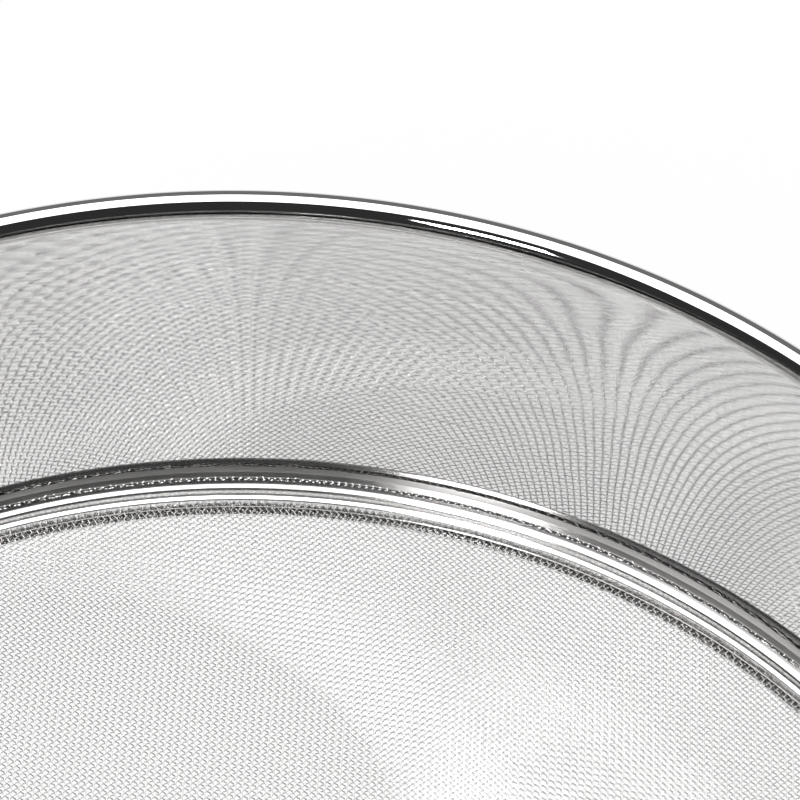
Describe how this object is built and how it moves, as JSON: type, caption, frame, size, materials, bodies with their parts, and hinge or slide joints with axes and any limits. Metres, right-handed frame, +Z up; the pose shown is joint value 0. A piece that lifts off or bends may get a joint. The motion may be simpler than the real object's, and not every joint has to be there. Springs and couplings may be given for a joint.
{
  "type": "drum sieve",
  "caption": "Round drum sieve: a polished sheet hoop with an outward-rolled rim, a flat woven wire cloth near the base and the two rings that clamp it.",
  "frame": {"origin": "centre of the base, on the plane that the sieve stands on", "axes": "+Z up along the drum's axis; +Y to the far side of the picture; +X to its right"},
  "size_m": [0.26, 0.26, 0.0687],
  "materials": {
    "drum_steel": "mirror-polished stainless sheet with faint rolling lines round the hoop",
    "backing_steel": "satin ground stainless bar",
    "wire_steel": "bright drawn stainless wire, plain weave",
    "ring_steel": "polished pressed stainless ring"
  },
  "bodies": {
    "root": {"drum_wall": "drum_steel", "backing_ring": "backing_steel", "wire_cloth": "wire_steel", "retaining_ring": "ring_steel"}
  },
  "joints": []
}
